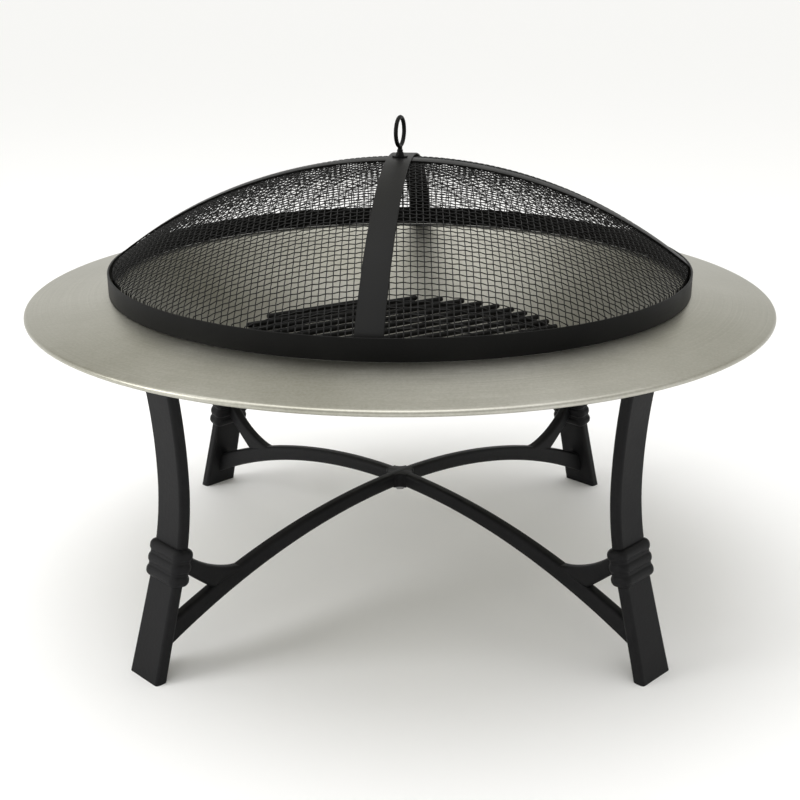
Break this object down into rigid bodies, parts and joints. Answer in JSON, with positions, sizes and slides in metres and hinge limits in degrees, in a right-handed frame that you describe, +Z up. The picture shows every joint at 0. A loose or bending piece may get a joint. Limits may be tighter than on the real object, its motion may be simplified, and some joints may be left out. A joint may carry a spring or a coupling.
{
  "type": "fire pit",
  "caption": "Round garden fire pit: a steel bowl with a wide sloping rim on a black stand of crossed arches, with a lift-out grate and a domed wire spark screen.",
  "frame": {"origin": "on the ground under the centre of the stand", "axes": "+Z up; -Y is the front; the legs stand on the diagonals between X and Y"},
  "size_m": [0.76, 0.76, 0.4969],
  "materials": {
    "stand_paint": "satin black paint on cast and bent steel",
    "bowl_steel": "satin spun stainless steel, warm grey",
    "grate_iron": "black heat-resistant paint on round bar",
    "screen_paint": "satin black heat-resistant paint on flat steel",
    "mesh_wire": "black painted square woven wire, 6 mm pitch, 1 mm wire",
    "hardware": "zinc-plated steel"
  },
  "bodies": {
    "stand": {"leg_rear_right": "stand_paint", "leg_rear_left": "stand_paint", "leg_front_left": "stand_paint", "leg_front_right": "stand_paint", "collar_rear_right": "stand_paint", "collar_rear_left": "stand_paint", "collar_front_left": "stand_paint", "collar_front_right": "stand_paint", "upper_arch": "stand_paint", "lower_arch": "stand_paint", "centre_bolt": "hardware", "centre_washer": "hardware"},
    "bowl": {"fire_bowl": "bowl_steel"},
    "grate": {"grate_ring": "grate_iron", "grate_rod_01": "grate_iron", "grate_rod_02": "grate_iron", "grate_rod_03": "grate_iron", "grate_rod_04": "grate_iron", "grate_rod_05": "grate_iron", "grate_rod_06": "grate_iron", "grate_rod_07": "grate_iron", "grate_rod_08": "grate_iron", "grate_rod_09": "grate_iron", "grate_rod_10": "grate_iron", "grate_rod_11": "grate_iron", "grate_rod_12": "grate_iron", "grate_rod_13": "grate_iron", "grate_rod_14": "grate_iron", "grate_rod_15": "grate_iron", "grate_rod_16": "grate_iron"},
    "screen": {"screen_band": "screen_paint", "mesh_panel_rear_right": "mesh_wire", "mesh_panel_rear_left": "mesh_wire", "mesh_panel_front_left": "mesh_wire", "mesh_panel_front_right": "mesh_wire", "strap_left_to_right": "screen_paint", "strap_front_to_back": "screen_paint", "lifting_eye": "screen_paint", "eye_washer_outer": "screen_paint", "eye_washer_inner": "hardware", "eye_nut": "hardware"}
  },
  "joints": [
    {"name": "bowl_lift", "type": "slide", "parent": "stand", "child": "bowl", "axis": [0, 0, 1], "range_m": [0, 0.15]},
    {"name": "grate_lift", "type": "slide", "parent": "bowl", "child": "grate", "axis": [0, 0, 1], "range_m": [0, 0.1]},
    {"name": "screen_lift", "type": "slide", "parent": "bowl", "child": "screen", "axis": [0, 0, 1], "range_m": [0, 0.25]}
  ]
}
